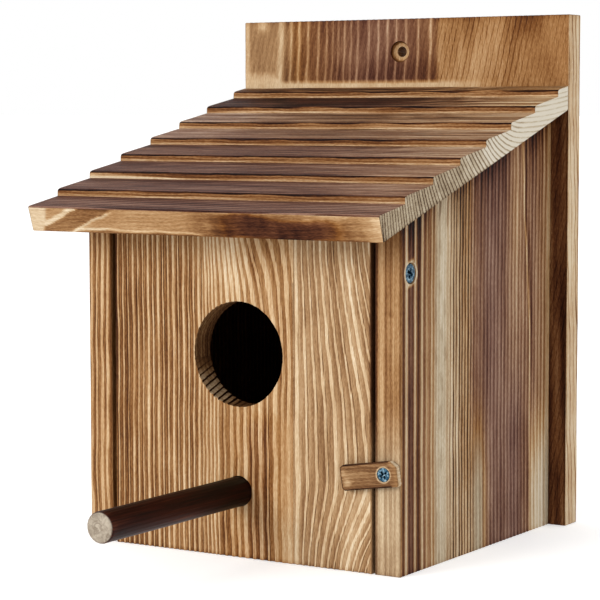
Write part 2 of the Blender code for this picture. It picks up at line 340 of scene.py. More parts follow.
def make_piece(name, points, faces, material, fields=None, sharp=40):
    """Points in millimetres and faces as an object in metres, with its wood fields as UV layers."""
    mesh = bpy.data.meshes.new(name)
    mesh.from_pydata((points * MM).tolist(), [], faces if isinstance(faces, list) else faces.tolist())
    mesh.materials.append(material)
    corners = np.zeros(len(mesh.loops), np.int32)
    mesh.loops.foreach_get("vertex_index", corners)
    for layer, pair in (fields or {}).items():
        values = np.stack(np.broadcast_arrays(*pair, points[:, 0])[:2], 1)
        uv = mesh.uv_layers.new(name=layer)
        uv.data.foreach_set("uv", values[corners].astype(np.float32).ravel())
    mesh.shade_smooth()
    mesh.set_sharp_from_angle(angle=math.radians(sharp))
    piece = bpy.data.objects.new(name, mesh)
    bpy.context.scene.collection.objects.link(piece)
    return piece


def settle(piece, node, body):
    """What a finished piece moves with; the CAD part it stands for is hidden."""
    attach(piece, body)
    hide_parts(node)


def spread(low, high, cell, arris):
    """Places from low to high about a cell apart, with three more in each rounded arris."""
    count = max(2, round((high - low - 2 * arris) / cell) + 1)
    turn = arris * (1 - np.tan(np.radians([45, 30, 15])))
    return np.concatenate([low + turn, np.linspace(low + arris, high - arris, count),
                           (high - turn)[::-1]])


def board(name, low, high, cell, wood, material, arris=0.8, shape=None):
    """A block with round arrises, sunk where the brush took soft wood.

    Each grid point is pulled to the inner block, then pushed out along the line between the two by
    the arris radius, less the relief: depth times 1 - ridge.
    """
    low, high = np.array(low, float), np.array(high, float)
    axes = [spread(low[i], high[i], cell[i], arris) for i in range(3)]
    index, quads = skin([len(axis) for axis in axes])
    raw = np.stack([axes[i][index[:, i]] for i in range(3)], 1)
    core = np.clip(raw, low + arris, high - arris)
    out = raw - core
    out /= np.linalg.norm(out, axis=1)[:, None]
    points = core + out * arris
    if shape:
        points = shape(points)
    fields, relief = wood(points)
    phase, width = fields["rings"]
    sunk = relief * (1 - ridge(phase, width, 0.16))
    points = points - out * sunk[:, None]
    return make_piece(name, points, quads, material, fields)


def ring_faces(rings, sides, outward=True):
    """Quads between rings of points, and a fan from each end ring to the point that closes it.

    Points run ring by ring, with the two closing points last.
    """
    ring = np.arange(rings - 1)[:, None] * sides
    here = np.arange(sides)
    after = (here + 1) % sides
    last = (rings - 1) * sides
    tip = np.full(sides, rings * sides)
    quads = np.stack([ring + here, ring + after, ring + sides + after, ring + sides + here], -1)
    fans = [np.stack([after, here, tip], 1), np.stack([last + here, last + after, tip + 1], 1)]
    step = 1 if outward else -1
    return [face for part in (quads.reshape(-1, 4), *fans) for face in part[:, ::step].tolist()]


def ring_points(along, radius, axis, ends, place):
    """Rings square to an axis, from grids of ring by angle, then the two places that close them."""
    angle = np.arange(radius.shape[1]) * TAU / radius.shape[1]
    rings = np.zeros((*radius.shape, 3))
    rings[..., axis] = along
    rings[..., (axis + 1) % 3] = radius * np.cos(angle)
    rings[..., (axis + 2) % 3] = radius * np.sin(angle)
    closing = np.zeros((2, 3))
    closing[:, axis] = ends
    return np.concatenate([rings.reshape(-1, 3), closing]) + np.array(place)


def turned(name, place, axis, along, radius, sides, fields, material):
    """A solid turned about an axis through a place: radius is one value a ring, or ring by angle."""
    radius = np.asarray(radius, float)
    if radius.ndim < 2:
        radius = np.broadcast_to(radius, len(along))[:, None]
    radius = np.broadcast_to(radius, (len(along), sides))
    points = ring_points(np.asarray(along)[:, None], radius, axis, (along[0], along[-1]), place)
    return make_piece(name, points, ring_faces(len(along), sides), material, fields(points))


def bore(piece, cutters):
    """Cut holes.  The cutters are joined first, and their UV layers stay on the walls they leave."""
    first = cutters[0]
    with bpy.context.temp_override(active_object=first, selected_editable_objects=cutters):
        bpy.ops.object.join()
    cut = piece.modifiers.new("bore", "BOOLEAN")
    cut.operation = "DIFFERENCE"
    cut.solver = "EXACT"
    cut.object = first
    graph = bpy.context.evaluated_depsgraph_get()
    mesh = bpy.data.meshes.new_from_object(piece.evaluated_get(graph), preserve_all_data_layers=True,
                                           depsgraph=graph)
    piece.modifiers.clear()
    old = piece.data
    piece.data = mesh
    bpy.data.meshes.remove(old)
    mesh.name = piece.name
    mesh.shade_smooth()
    mesh.set_sharp_from_angle(angle=math.radians(40))
    bpy.data.objects.remove(first)


# ---------------------------------------------------------------- wood

def wander(along, pitch, reach, seed):
    """A slow wave: three sines of unrelated pitch, whose sum stays within reach."""
    start = np.random.default_rng(seed).uniform(0, TAU, 3)
    waves = [(0.5, 1.0), (0.32, 0.43), (0.18, 0.19)]
    return reach * sum(share * np.sin(TAU * along / (pitch * stretch) + begin)
                       for (share, stretch), begin in zip(waves, start))


def cloud(first, second, size, seed):
    """Soft patches, about -1 to 1: seven plane waves in unrelated directions."""
    rng = np.random.default_rng(seed)
    total = 0
    for angle, start, stretch in zip(rng.uniform(0, math.pi, 7), rng.uniform(0, TAU, 7),
                                     rng.uniform(0.6, 1.9, 7)):
        across = first * math.cos(angle) + second * math.sin(angle)
        total += np.sin(TAU * across / (size * stretch) + start)
    return total / 3.5


def hump(value, centre, half):
    """A bell curve 1 high, half wide at about a third of its height."""
    return np.exp(-((value - centre) / half) ** 2)


def cover(mask, *pairs):
    """Of each pair of values, the first where the mask is 0 and the second where it is 1."""
    laid = [under * (1 - mask) + over * mask for under, over in pairs]
    return laid if len(laid) > 1 else laid[0]


def wood_fields(phase, tone, contrast, hue=0.0, width=0.22, rough=0.62):
    return {"rings": (phase, width), "tone": (tone, contrast), "hue": (hue, rough)}


def door_wood(p):
    """Three staves glued edge to edge, each with its own year rings.

    The left stave's rings are upright.  The middle one's sweep from upper left to upright.  The
    right one's spread from the glue line by a bell curve of height, so they bow out through the
    edge at the button's level and close into nested arcs below it.
    """
    x, deep, z = p[:, 0], p[:, 1] - FRONT, p[:, 2]
    first_joint, second_joint = -18.6, 27.8
    left = (x + wander(z, 130, 0.4, 3) + 0.12 * deep) / 2.68

    sweep = 0.0022 * np.maximum(0, z - 70) ** 2
    swept = x + sweep * hump(x, 6, 16) + wander(z, 100, 0.5, 5) + 0.2 * deep
    inner = np.interp(swept, (-40, -19, -10, 0, 22, 60), (0, 7.0, 11.6, 14.5, 20.4, 32.6))

    bow = hump(z, 42, np.where(z > 42, 62, 29))
    bowed = second_joint + (x - second_joint) / (1 + 0.75 * bow) + wander(z, 90, 0.3, 7)
    right = (bowed - 0.25 * deep) / 2.75 + 40

    in_left = x < first_joint
    in_right = x > second_joint

    def stave(*values):
        """Of values for the left, middle and right staves, the one that holds."""
        return np.where(in_left, values[0], np.where(in_right, values[2], values[1]))

    phase = stave(left, inner, right)
    tone = stave(0.61, 0.655, 0.70)
    contrast = stave(0.33, 0.26, 0.25)
    width = stave(0.19, 0.21, 0.17)

    tone += 0.035 * cloud(x * 2.2, z * 0.5, 34, 11)
    low = rise(68 - z, 0, 14)
    tone += 0.10 * hump(x, -6, 14) * rise(z, 100, 125) * ~in_right * ~in_left
    tone = tone - 0.10 * hump(x, 12, 9) * low * ~in_right - 0.05 * hump(x, -4, 5) * low
    tone = tone + 0.07 * hump(x, 24.5, 4.5) * low - 0.06 * hump(x, 43, 5) * hump(z, 48, 30)
    tone += 0.05 * hump(x, 60, 9) * hump(z, 12, 18)
    width = width + 0.10 * hump(x, -6, 12) * rise(z, 95, 120) * ~in_left + 0.08 * hump(x, 24, 5)
    contrast = contrast - 0.20 * hump(x, 24.5, 4) * low + 0.06 * hump(x, 10, 8) * low
    contrast = contrast * (1 - 0.35 * rise(0.25 * cloud(x, z * 0.3, 23, 31), 0, 0.4))
    hue = -0.10 + 0.22 * hump(x, 10, 12) * low - 0.22 * in_right
    tone += 0.10 * hump(x, 61, 5) * hump(z, 31, 4)
    joint = hump(x, first_joint, 0.3) + 0.5 * hump(x, second_joint, 0.25)
    tone -= 0.12 * joint
    side = 65.2 - 0.5 * (z - 0.5) / 148 - np.abs(x - 0.4)
    edge = np.minimum(z, side) / 0.5
    tone -= 0.25 * np.exp(-np.maximum(edge, 0))
    # Painted shade inside the box: the door's inner face is darker.
    back = rise(deep, 11.5, 12)
    tone = cover(back, (tone, 0.32))
    # Painted shade in the gaps: the upright edge faces seen through them are dark high up and paler low
    # down.
    gap_face = 1 - rise(side, 0.1, 0.8)
    tone, contrast = cover(gap_face, (tone, 0.24 + 0.28 * rise(75 - z, 0, 30)), (contrast, 0))
    relief = np.where(deep < 6, 0.24, 0.12) * (0.6 + contrast) * rise(side, 0.6, 2.4)
    return wood_fields(phase, tone, contrast, hue, width), relief


# Across the right side panel from its front edge: depth, tone and hue of the broad bands
SIDE_BANDS = np.array([
    (0.0, 0.60, 0.0), (1.2, 0.58, 0.0), (2.0, 0.40, 0.3), (3.6, 0.42, 0.3), (4.3, 0.82, -0.5),
    (5.6, 0.86, -0.5), (6.3, 0.40, 0.5), (8.0, 0.37, 0.6), (11.0, 0.42, 0.5), (11.8, 0.82, -0.4),
    (12.9, 0.84, -0.4), (13.5, 0.34, 0.3), (15.0, 0.31, 0.3), (16.8, 0.36, 0.2), (17.4, 0.80, -0.4),
    (18.5, 0.80, -0.4), (19.1, 0.50, 0.4), (21.2, 0.52, 0.3), (21.9, 0.76, -0.3), (22.7, 0.77, -0.3),
    (23.3, 0.53, 0.3), (25.2, 0.57, 0.2), (26.0, 0.77, -0.4), (27.0, 0.73, -0.2), (27.8, 0.58, 0.0),
    (29.0, 0.72, -0.5), (31.5, 0.82, -0.8), (33.4, 0.78, -0.8), (35.0, 0.85, -0.9), (36.6, 0.79, -0.8),
    (38.0, 0.83, -0.8), (39.2, 0.70, -0.4), (40.4, 0.78, -0.5), (42.0, 0.70, -0.4), (44.0, 0.61, -0.3),
    (52.0, 0.59, -0.2), (59.0, 0.54, 0.1), (62.0, 0.47, 0.5), (65.6, 0.49, 0.6), (69.0, 0.50, 0.7),
    (71.2, 0.46, 0.6), (73.5, 0.51, 0.8), (80.0, 0.50, 0.9), (89.0, 0.48, 0.8), (92.2, 0.49, 0.7),
    (96.5, 0.52, 0.6), (102.0, 0.55, 0.55), (108.0, 0.54, 0.55), (112.0, 0.51, 0.5), (115.0, 0.51, 0.5),
    (119.5, 0.49, 0.6), (126.0, 0.55, 0.4), (130.0, 0.59, 0.3), (133.5, 0.57, 0.2), (135.0, 0.80, -0.2),
    (136.2, 0.57, 0.0), (137.3, 0.26, 0.3)])


def roof_line(depth):
    """Height of the roof's underside at a depth behind the front plane."""
    return ROOF_UNDERSIDE + depth * PITCH_SLOPE


def side_wood(p):
    """The right panel: upright bands, told by depth, that turn the corner onto its front edge.

    Bands come from SIDE_BANDS along depth plus a share of the way in from the outer face.  Fine
    rings fill the middle, soot and painted shade hang in streaks below the roof, and one resinous
    line wanders down near the back.  Painted shade also darkens the front edge beside the door gap
    and the inner face.
    """
    depth, z = p[:, 1] - FRONT, p[:, 2]
    inward = SIDE_OUT - p[:, 0]
    across = depth + 1.15 * inward + wander(z, 170, 0.45, 21) * rise(depth, 4, 20)
    tone = np.interp(across, SIDE_BANDS[:, 0], SIDE_BANDS[:, 1])
    hue = np.interp(across, SIDE_BANDS[:, 0], SIDE_BANDS[:, 2])

    fine = rise(across, 40, 44) * (1 - rise(across, 60, 66))
    phase = np.interp(across, (0, 40, 66, 140), (0, 16, 26, 48.5))
    contrast = 0.10 + 0.34 * fine + 0.10 * rise(across, 66, 72)
    width = 0.24 + 0.09 * fine
    pale_belt = rise(across, 28, 30) * (1 - rise(across, 39, 42))
    flecks = rise(cloud(across * 2.6, z * 0.8, 12, 27), 0.42, 0.62)

    low = rise(95 - z, 0, 50)
    tone += 0.20 * hump(across, 68, 7) * rise(70 - z, 0, 60)
    hue -= 1.6 * hump(across, 68, 7) * rise(80 - z, 0, 60)
    tone -= 0.11 * hump(across, 102, 8) * low
    hue += 0.40 * hump(across, 102, 9) * low
    pale = rise(across, 117.5, 119) * rise(70 - z, 0, 55)
    tone += 0.30 * pale * (1 - rise(across, 128, 137))
    hue -= 0.9 * pale
    tone = tone + 0.05 * cloud(across * 1.6, z * 0.35, 30, 23) - 0.09 * flecks * pale_belt
    glow = hump(across, 103, 6.5) * hump(z, 145, 32)
    tone += 0.03 * glow
    hue -= 0.3 * glow

    resin = np.interp(z, (0, 60, 90, 110, 130, 142, 190),
                      (117.6, 117.6, 117.0, 115.4, 113.2, 111, 108))
    tone += 0.30 * hump(across, resin, 0.6)
    tone -= 0.14 * hump(across, resin + 2.2, 1.4) * rise(z, 60, 95)
    hue -= 0.5 * hump(across, resin, 0.9)

    # Soot and painted shade: a darkening that hangs below the roof's underside, in streaks of varying
    # reach; pale lines and a belt further back are partly spared.
    below = roof_line(depth) - z
    reach = 6 + 8 * (0.5 + 0.5 * np.sin(TAU * across / 5.3 + 0.6)) + 4 * np.sin(TAU * across / 37)
    soot_and_shade = np.exp(-np.maximum(below, 0) / np.maximum(reach, 2.5))
    spared = 0.6 * rise(across, 90, 100) * (1 - rise(across, 112, 118))
    spared = np.maximum(0.7 * rise(tone, 0.6, 0.78), spared)
    tone -= 0.60 * soot_and_shade * (1 - spared)
    hue -= 0.2 * soot_and_shade

    facing = 1 - rise(depth, 0.15, 0.75)
    cream = rise(75 - z, 0, 40)
    front = 0.49 + 0.30 * (hump(inward, 3.1, 0.55) + hump(inward, 9.2, 0.55)) * (1 - 0.5 * cream)
    # Painted shade: the front edge darkens towards its inner corner beside the door gap, less so low
    # down.
    front = front - 0.26 * rise(inward, 9.9, 10.8) * (1 - 0.8 * cream) - 0.06 * hump(inward, 6.0, 1.2)
    front = front + 0.04 * cloud(inward * 3, z * 0.4, 22, 24) + 0.15 * cream
    front -= 0.30 * soot_and_shade * 0.5
    phase, tone, contrast, hue = cover(facing, (phase, inward / 2.3), (tone, front),
                                       (contrast, 0.10), (hue, -0.15 - 0.45 * cream))

    outside = rise(2 - inward, 0, 1.8)
    ring = np.hypot(depth - PIVOT_DEPTH, z - PIVOT_HEIGHT)
    pressed = outside * rise(ring, 3.4, 4.0) * (1 - rise(ring, 5.2, 5.9))
    tone, hue = cover(pressed, (tone, 0.86), (hue, -0.7))
    speck = hump(np.hypot(inward - 4, z - 108), 0, 0.9) * (depth < 1)
    tone = tone - 0.5 * speck - 0.16 * np.exp(-np.maximum(z, 0) / 0.7)
    tone += 0.05 * rise(across, 66, 92)
    # Painted shade inside the box: the inner face is made dark.
    inner = rise(inward, 11, 12)
    tone = cover(inner, (tone, 0.22))
    contrast = contrast * (1 - 0.6 * inner)
    relief = (0.20 - 0.10 * inner) * (0.5 + contrast)
    return wood_fields(phase, tone, contrast, np.clip(hue, -1, 1), width), relief


def far_side_wood(p):
    """The left panel: plain upright rings that cross it at a slant, browner at its inner corner, which
    is painted shade beside the door gap.
    """
    depth, z = p[:, 1] - FRONT, p[:, 2]
    inward = p[:, 0] + SIDE_OUT
    across = depth * 0.9 + 1.0 * inward + wander(z, 150, 0.8, 41)
    phase = across / 2.9 + 0.1
    # Soot and painted shade below the roof's underside.
    soot_and_shade = np.exp(-np.maximum(roof_line(depth) - z, 0) / 9)
    tone = 0.61 + 0.05 * cloud(across * 1.5, z * 0.4, 31, 43) - 0.3 * soot_and_shade
    # The last term is painted shade: the front edge darkens towards its inner corner beside the door
    # gap.
    tone = tone - 0.16 * np.exp(-np.maximum(z, 0) / 0.7) - 0.08 * rise(inward, 9, 12) * (depth < 2)
    contrast = 0.30 + 0.04 * cloud(across, z * 0.2, 18, 44)
    # Painted shade inside the box: the inner face is dark, lighter near the front where the door gap
    # shows it.
    inner = rise(inward, 11, 12)
    tone = cover(inner, (tone, 0.22 + 0.26 * rise(8 - depth, 0, 5)))
    contrast = contrast * (1 - 0.6 * inner)
    relief = np.full(len(z), 0.2) * (0.5 + contrast)
    return wood_fields(phase, tone, contrast, -0.1, 0.22), relief


# Pale ring lines on the back board's top, as place across it, half width and strength
BACK_LINES = np.array([
    (-66.3, 1.9, 0.36), (-60.8, 0.8, 0.30), (-56.2, 0.9, 0.34), (-51.2, 0.7, 0.34), (-45.2, 0.6, 0.30),
    (-40.6, 0.6, 0.28), (-37.2, 0.45, 0.28), (-34.1, 0.45, 0.24), (-30.6, 0.55, 0.30),
    (-27.0, 0.5, 0.26), (-23.2, 0.55, 0.32), (-17.2, 0.55, 0.32), (-12.0, 0.55, 0.34),
    (-7.0, 0.6, 0.36), (-2.2, 0.6, 0.34), (3.0, 0.6, 0.34), (9.6, 0.65, 0.36), (16.2, 0.75, 0.40)])


def back_wood(p):
    """The tall back board: smoked between thin pale lines at the left, plain brown rings at the right.

    The flame left a pale border along its edges and just above the roof.
    """
    x, deep, z = p[:, 0], p[:, 1] - BACK_FRONT, p[:, 2]
    lean = x - 0.03 * (z - 218) + wander(z, 60, 0.3, 51)
    lines = sum(strength * hump(lean, place, half) for place, half, strength in BACK_LINES)
    slanted = x - 0.25 * (z - 203) + wander(z, 40, 0.3, 52)
    right = rise(x, 18, 22)
    phase = np.where(x > 20, slanted / 2.7, slanted / 2.9)
    contrast = 0.05 + 0.10 * right * (1 - rise(x, 55, 75))
    width = 0.27 + 0.14 * right
    smoked = rise(x, -69, -64) * (1 - right)
    tone = 0.54 - 0.13 * smoked - 0.01 * right + 0.90 * lines * (1 - right)
    tone = tone + 0.04 * cloud(x, z, 21, 53) - 0.14 * right * hump(x, 66, 11) * rise(z, 218, 230)
    tone -= 0.10 * smoked * rise(218 - z, 0, 12) * rise(x, -50, -30)
    hue = 0.05 + 0.6 * hump(x, -12, 34) * (1 - right) - 0.15 * lines - 0.35 * (1 - rise(x, -66, -50))
    border = 1 - rise(z - 202.2 - wander(x, 40, 0.5, 55) - 4.0 * (1 - rise(x, -71, -66)), 0, 1.6)
    border = border * (1 - rise(x, 16, 60)) * (z > 190)
    left_edge = 1 - rise(x + BACK_HALF - 2.2, 0, 1.6)
    notch = hump(x, -77, 3.4) * rise(z, 226, 230)
    pale = np.clip(border + left_edge * 0.8 + notch, 0, 1)
    tone, contrast, hue = cover(pale, (tone, 0.82), (contrast, 0), (hue, -0.25))

    behind = rise(deep, 11, 12)
    figure = np.hypot(x + 8, 34 + wander(z, 210, 9, 61) + 0.10 * (z - 116)) / 2.9
    phase = np.where(deep > 11, figure, phase)
    width = np.where(deep > 11, 0.24, width)
    # Painted shade inside the box: the front face below the roof is made near black.
    under = (1 - behind) * (z < 197)
    tone, contrast = cover(behind, (tone, 0.66 + 0.05 * cloud(x, z * 0.3, 40, 57)), (contrast, 0.26))
    tone = np.where(under > 0, 0.12, tone)
    contrast = np.where(under > 0, 0.08, contrast)
    # The strip of front face left outside each side panel is scorched dark and also carries painted
    # shade.
    charred_and_shaded = (np.abs(x) > SIDE_OUT - 2) * rise(BACK_HALF - 0.4 - np.abs(x), 0, 0.5) * under
    tone = cover(charred_and_shaded, (tone, 0.31 + 0.10 * cloud(x * 5, z * 0.25, 20, 58)))
    hue = np.where(charred_and_shaded > 0.5, 0.25, hue)

    edge = rise(np.abs(x), BACK_HALF - 0.5, BACK_HALF - 0.1)
    streak = deep + 0.05 * z + wander(z, 70, 0.9, 59)
    edge_tone = 0.74 + 0.06 * cloud(deep * 2, z * 0.2, 20, 60)
    phase, tone, contrast, hue = cover(edge, (phase, streak / 3.6), (tone, edge_tone),
                                       (contrast, 0.34), (hue, 0.08))
    relief = np.full(len(x), 0.16) * (0.4 + contrast * 1.5)
    tone -= 0.2 * np.exp(-np.maximum(BACK_TOP - z, 0) / 0.5)
    return wood_fields(phase, tone, contrast, hue, width), relief


def floor_wood(p):
    """Plain pine with rings along the box's depth."""
    x, y, z = p.T
    phase = (x + wander(y, 120, 1.5, 71) + 0.5 * z) / 4.1
    tone = 0.60 + 0.05 * cloud(x, y * 0.4, 35, 72)
    return wood_fields(phase, tone, 0.26, 0.0), np.full(len(x), 0.08)


# ---------------------------------------------------------------- boards

def drilled(tone, hue=0.2):
    """Fields for the wall of a drilled hole."""
    def fields(p):
        return wood_fields(p[:, 0] * 0.3, np.full(len(p), tone), 0.1, hue)
    return fields


def door_pieces():
    material = scorched_pine("door_pine", 2)
    low, high = box_mm("front_door")
    taper = 0.5
    teeth_count = 52
    teeth_slant = -0.11

    def narrow(p):
        """Each upright edge leans in by the taper towards the top."""
        part = (p[:, 2] - low[2]) / (high[2] - low[2])
        centre = (low[0] + high[0]) / 2
        half = (high[0] - low[0]) / 2
        p[:, 0] = centre + (p[:, 0] - centre) * (1 - taper * part / half)
        return p

    door = board("door", low, high, (0.46, 2.4, 1.6), door_wood, material, 0.4, narrow)

    along = np.linspace(-1.5, high[1] - low[1] + 1.5, 34)
    sides = 416
    angle = np.arange(sides) * TAU / sides
    teeth = fraction(angle[None, :] / TAU * teeth_count + along[:, None] * teeth_slant)
    # turned() measures its angle from +Z round to +X, so the lower left lies near 215 degrees
    bite = 0.10 + 0.50 * hump(angle, math.radians(222), 0.62)
    bite += 0.42 * hump(angle, math.radians(318), 0.5)
    radius = ENTRANCE_RADIUS - 0.05 + bite * (teeth - 0.5) + 0.05 * np.sin(angle * 5)

    def bored(p):
        """Sawn year rings across the lower left, told by the way round, and dark scrapes elsewhere."""
        turn = np.arctan2(p[:, 0], p[:, 2] - ENTRANCE_HEIGHT) % TAU
        deep = p[:, 1] - FRONT
        toothed = hump(turn, math.radians(222), 0.62) + 0.25 * hump(turn, math.radians(325), 0.7)
        phase = turn / TAU * teeth_count + deep * teeth_slant
        phase = np.where(toothed > 0.3, phase, deep / 1.9 + 0.25 * np.sin(turn * 9))
        # Painted shade inside the hole: the wall's tone is low and falls further with depth.
        tone = 0.37 + 0.12 * toothed + 0.05 * np.sin(deep * 2.1 + turn * 5) - 0.012 * deep
        contrast = np.where(toothed > 0.3, 0.62 * rise(toothed, 0.3, 0.85), 0.14)
        return wood_fields(phase, tone, contrast, -0.25, 0.36, 0.75)

    cutters = [turned("entrance_cut", (0, FRONT, ENTRANCE_HEIGHT), 1, along, radius, sides, bored,
                      material),
               turned("socket_cut", (0, FRONT, PERCH_HEIGHT), 1, (-1, 9.3), (6.62, 6.8), 64,
                      drilled(0.14), material)]
    for side in (-1, 1):
        place = (side * (high[0] + 1), FRONT + PIVOT_DEPTH, PIVOT_HEIGHT)
        cutters.append(turned("pivot_cut", place, 0, (-20, 20), 2.3, 24, drilled(0.3), material))
    bore(door, cutters)
    settle(door, "front_door", "door")


def side_pieces():
    drop = 0.32
    top = roof_line(0) - drop

    def slope(p):
        """Heights are stretched so that the flat top follows the roof's underside."""
        p[:, 2] = p[:, 2] * (roof_line(p[:, 1] - FRONT) - drop) / top
        return p

    for word, side, wood in (("right_side", 1, side_wood), ("left_side", -1, far_side_wood)):
        node = word + "_panel"
        material = scorched_pine(node + "_pine", 2)
        low, high = box_mm(node)
        piece = board(word, low, (high[0], high[1], top), (2.4, 0.46, 1.7), wood, material, 0.4, slope)
        deep = np.array([-3.0, 0.0, 1.0, 1.4, 3.3, 14.0])
        mouth = (4.5, 4.5, 4.2, 4.2, 2.3, 2.3)
        place = (side * SIDE_OUT, FRONT + PIVOT_DEPTH, PIVOT_HEIGHT)
        cutters = [turned("pivot_cut", place, 0, -side * deep, mouth, 48, drilled(0.5, -0.5), material)]
        if side > 0:
            cutters[0].data.flip_normals()
            place = (middle("turn_button_screw")[0], FRONT, BUTTON_HEIGHT)
            cutters.append(turned("button_cut", place, 1, (-2, 18), 1.75, 24, drilled(0.3), material))
        for height in SIDE_SCREW_HEIGHTS:
            place = (side * SIDE_MIDDLE, BACK_FRONT, height)
            cutters.append(turned("rear_cut", place, 1, (-20, 2), 2.05, 24, drilled(0.4), material))
        bore(piece, cutters)
        settle(piece, node, "house")


def back_piece():
    material = scorched_pine("back_board_pine", 2)
    piece = board("back_board_wood", *box_mm("back_board"), (0.62, 2.4, 2.3), back_wood, material, 0.6)

    def ledge(p):
        """The hanging hole's wall, pale on the flat ring inside its countersink."""
        deep = p[:, 1] - BACK_FRONT
        flat = hump(deep, 2.15, 0.3)
        tone = 0.16 + 0.66 * flat + 0.34 * rise(deep, 2.3, 3.5)
        return wood_fields(p[:, 0] * 0.4, tone, 0.05, -0.2 * flat)

    cutters = [turned("hang_cut", (0, BACK_FRONT, HANG_HEIGHT), 1, (-1.0, 0.0, 2.0, 2.25, 3.5, 14.0),
                      (5.5, 5.0, 4.0, 2.5, 2.5, 2.5), 96, ledge, material)]
    places = [(side * SIDE_MIDDLE, height) for height in SIDE_SCREW_HEIGHTS for side in (-1, 1)]
    places += [(x, FLOOR_SCREW_HEIGHT) for x in FLOOR_SCREW_PLACES]
    for x, z in places:
        cutters.append(turned("screw_cut", (x, BACK, z), 1, (-14.0, -3.9, -1.4, -0.9, 0.0, 1.0),
                              (2.05, 2.05, 3.8, 3.8, 4.1, 4.4), 32, drilled(0.45, -0.4), material))
    for x in BRAD_PLACES:
        cutters.append(turned("brad_cut", (x, BACK, BRAD_HEIGHT), 1, (-14, 1), 1.0, 16, drilled(0.3),
                              material))
    bore(piece, cutters)
    settle(piece, "back_board", "house")


def floor_piece():
    material = scorched_pine("floor_pine", 1)
    piece = board("floor", *box_mm("floor_panel"), (1.1, 2.2, 2.4), floor_wood, material, 0.6)
    cutters = []
    for x in (-46.0, 46.0):
        for depth in (34.0, 116.0):
            cutters.append(turned("drain_cut", (x, FRONT + depth, 6), 2, (-8, 8), 3.0, 40, drilled(0.5),
                                  material))
    for x in FLOOR_SCREW_PLACES:
        place = (x, BACK_FRONT, FLOOR_SCREW_HEIGHT)
        cutters.append(turned("rear_cut", place, 1, (-20, 2), 2.05, 24, drilled(0.4), material))
    bore(piece, cutters)
    settle(piece, "floor_panel", "house")


# ---------------------------------------------------------------- roof

COURSE_PITCH = 23.0
COURSE_STEP = 3.15
COURSE_FIRST = -11.0
COURSE_BASE = 9.3
NOSE = 1.15
COURSES = 7
FRONT_LOW = np.array((-27.9, roof_line(-27.9)))
SQUARE = np.array((-math.sin(PITCH), math.cos(PITCH)))
FRONT_HIGH = FRONT_LOW + SQUARE * 11.4
ROOF_REAR = BACK_FRONT - 0.3 - FRONT


def roof_top():
    """The top's end view, front to back: depth, height, course, way up the riser, way along the tread.

    Each riser climbs straight from its foot, turns over a round nose and runs back as a tread.
    Riser is 1 at the nose and 0 at the foot, and tread is -1 away from treads.
    """
    tread_slope = PITCH_SLOPE - COURSE_STEP / COURSE_PITCH
    rows = []
    first = np.linspace(0, 1, 19)[1:]
    start = FRONT_HIGH
    foot = np.array((COURSE_FIRST, roof_line(COURSE_FIRST) + COURSE_BASE))
    for turn in (0.0, 0.35, 0.7, 1.0):
        rows.append((start[0] + 0.5 * turn, start[1] - 0.5 * (1 - turn), 0, turn, -1 if turn < 1 else 0))
    rows += [(*(start + (foot - start) * part), 0, 1.0, part) for part in first]
    for course in range(COURSES):
        depth = COURSE_FIRST + course * COURSE_PITCH
        low = roof_line(depth) + COURSE_BASE
        for part in (0.12, 0.3, 0.5, 0.75, 1.0):
            rows.append((depth, low + (COURSE_STEP - NOSE) * part, course + 1,
                         part * (1 - NOSE / COURSE_STEP), -1))
        for step in range(1, 6):
            turn = step / 5 * (math.pi / 2 - math.atan(tread_slope))
            fall = 1 - math.sin(turn)
            rows.append((depth + NOSE * (1 - math.cos(turn)), low + COURSE_STEP - NOSE * fall,
                         course + 1, 1 - NOSE / COURSE_STEP * fall, -1 if step < 5 else 0))
        end = COURSE_PITCH if course < COURSES - 1 else ROOF_REAR - depth
        for behind in np.linspace(NOSE, end, max(4, round(21 * end / COURSE_PITCH)))[1:]:
            rows.append((depth + behind, low + COURSE_STEP + behind * tread_slope, course + 1, 1.0,
                         behind / COURSE_PITCH))
    return np.array(rows)


def roof_end_grain(depth, up):
    """Ring phase on the sawn ends: square to the board in front, laid over towards the back.

    The ring's angle falls from 82 to 12 degrees with depth.  Phase is the way across the rings,
    the running sum of the angle's sine along the depth plus its cosine times the height.
    """
    steps = np.linspace(-35, 140, 176)
    angle = np.radians(np.interp(steps, (-35, -10, 20, 60, 90, 140), (84, 76, 58, 46, 17, 9)))
    along = np.cumsum(np.sin(angle)) * (steps[1] - steps[0])
    return (np.interp(depth, steps, along) + np.interp(depth, steps, np.cos(angle)) * up) / 2.05


# Treads from the front: tone and hue at their left, middle and right
TREADS = np.array([(0.36, 0.9, 0.34, 0.9, 0.40, 0.8), (0.35, 0.9, 0.33, 0.9, 0.44, 0.6),
                   (0.36, 0.9, 0.36, 0.8, 0.50, 0.5), (0.38, 0.8, 0.34, 0.8, 0.50, 0.4),
                   (0.48, 0.8, 0.42, 0.5, 0.52, 0.3), (0.50, 0.8, 0.42, 0.3, 0.50, 0.2),
                   (0.12, 0.8, 0.10, 0.6, 0.70, 0.0), (0.26, 0.3, 0.28, 0.2, 0.52, 0.0)])


